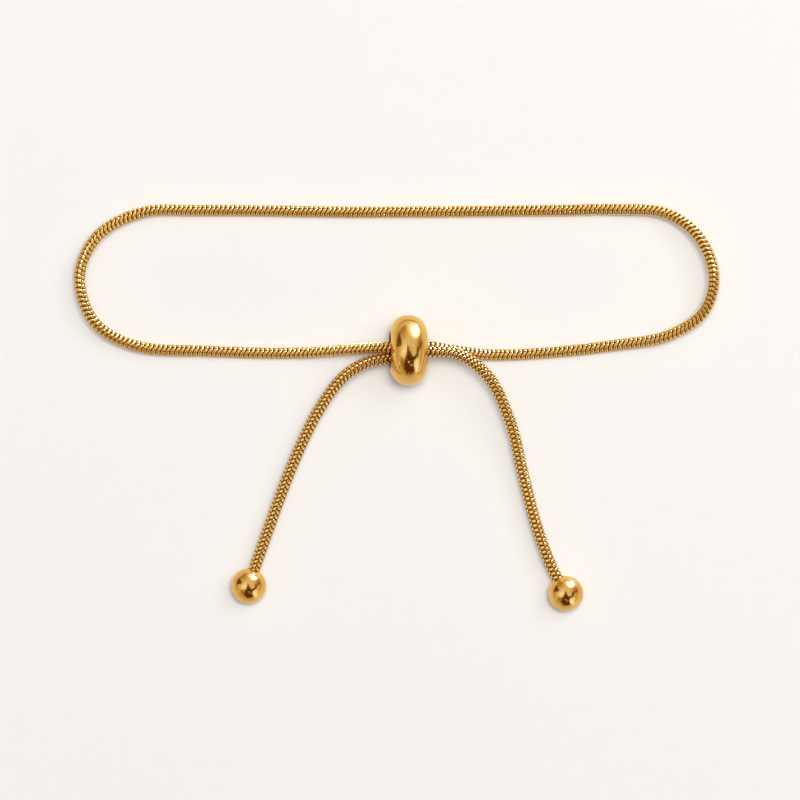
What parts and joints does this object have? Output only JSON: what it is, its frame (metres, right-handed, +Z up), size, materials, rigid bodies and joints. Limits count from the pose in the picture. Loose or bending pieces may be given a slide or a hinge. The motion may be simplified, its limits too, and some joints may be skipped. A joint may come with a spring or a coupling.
{
  "type": "slider bracelet",
  "caption": "Fine snake chain looped through a round slider bead, with a ball on each hanging end, lying flat.",
  "frame": {"origin": "middle of the bracelet's footprint, on the surface that it lies on", "axes": "+X along the wrist loop's long side, +Y from the two tails to the back of the loop, +Z up off the surface"},
  "size_m": [0.0734, 0.0464, 0.008],
  "materials": {
    "chain": "bright gold-plated snake chain, close bars with dark gaps between them",
    "polished_metal": "mirror-polished gold plate with a few fine hairline scratches"
  },
  "bodies": {
    "root": {"snake_chain": "chain", "slider_bead": "polished_metal", "ball_left": "polished_metal", "ball_right": "polished_metal"}
  },
  "joints": []
}
